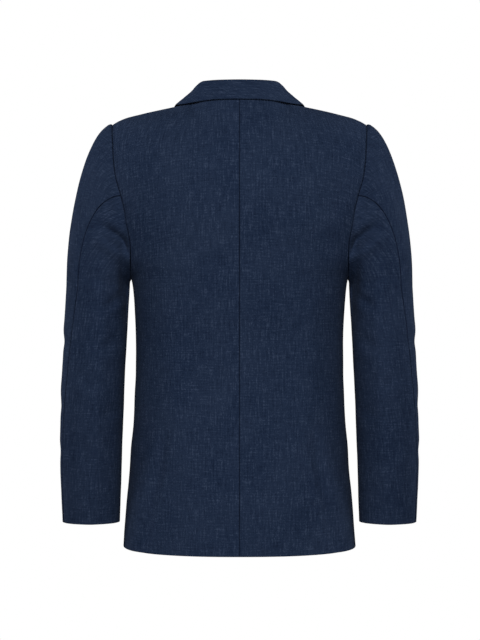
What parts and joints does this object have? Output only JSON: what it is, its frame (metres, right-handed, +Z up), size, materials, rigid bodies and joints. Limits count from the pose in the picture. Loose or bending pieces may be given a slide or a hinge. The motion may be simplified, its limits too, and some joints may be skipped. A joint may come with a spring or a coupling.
{
  "type": "blazer",
  "caption": "Single-breasted men's blazer with notch lapels and long sleeves, filled out as when worn, open at neck, hem and cuffs.",
  "frame": {"origin": "midway between the two shoulder points, at their height, where the wearer's shoulders carry the blazer", "axes": "+Z up, +Y to the wearer's back, -Y to the front, +X to the wearer's left"},
  "size_m": [0.5854, 0.2793, 0.745],
  "materials": {
    "cloth": "matt slubbed plain weave, navy",
    "button": "dark satin"
  },
  "bodies": {
    "root": {"back_left": "cloth", "back_right": "cloth", "side_left": "cloth", "side_right": "cloth", "front_left": "cloth", "front_right": "cloth", "lapel_left": "cloth", "lapel_right": "cloth", "collar": "cloth", "sleeve_top_left": "cloth", "sleeve_top_right": "cloth", "sleeve_under_left": "cloth", "sleeve_under_right": "cloth", "button_upper": "button", "button_lower": "button"}
  },
  "joints": []
}
